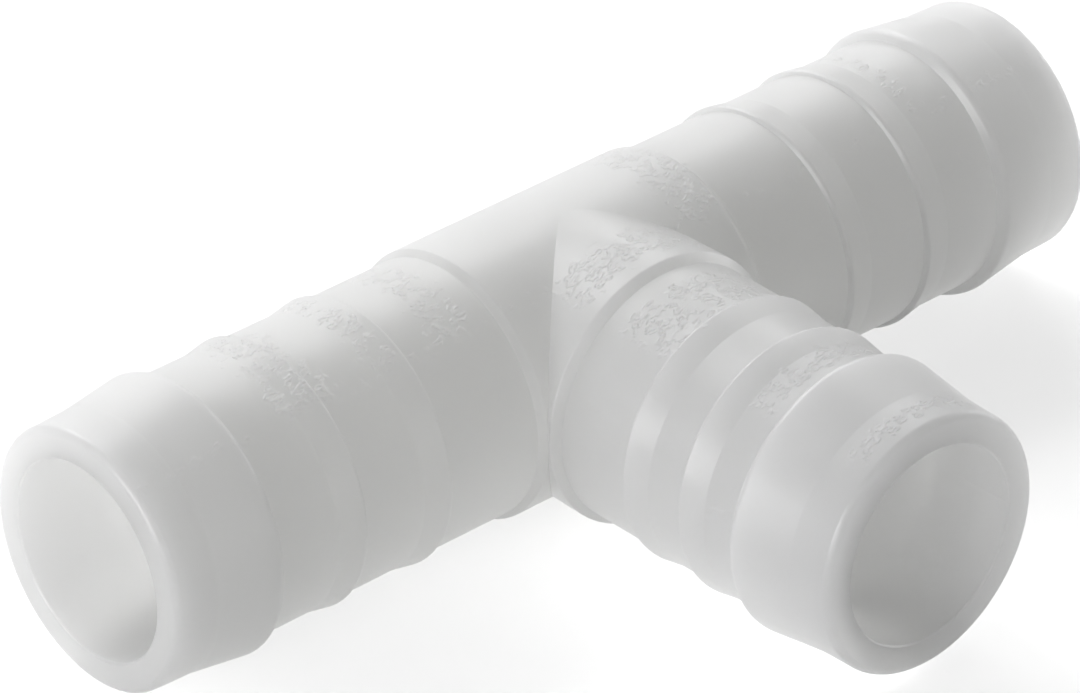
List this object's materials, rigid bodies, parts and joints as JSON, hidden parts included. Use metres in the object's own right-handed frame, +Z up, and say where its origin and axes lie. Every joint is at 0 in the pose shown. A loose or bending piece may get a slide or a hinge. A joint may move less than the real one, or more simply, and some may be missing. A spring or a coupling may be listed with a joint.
{
  "type": "hose barb tee",
  "caption": "One-piece moulded plastic tee that joins hoses pushed over its barbed run arms and barbed branch.",
  "frame": {"origin": "point where the run's axis and the branch's axis cross, inside the hub", "axes": "+X along the run, -Y along the branch towards its mouth, +Z up with the tee lying flat"},
  "size_m": [0.086, 0.0477, 0.021],
  "materials": {
    "natural_plastic": "natural white, slightly translucent, fine moulded grain"
  },
  "bodies": {
    "root": {"tee_body": "natural_plastic"}
  },
  "joints": []
}
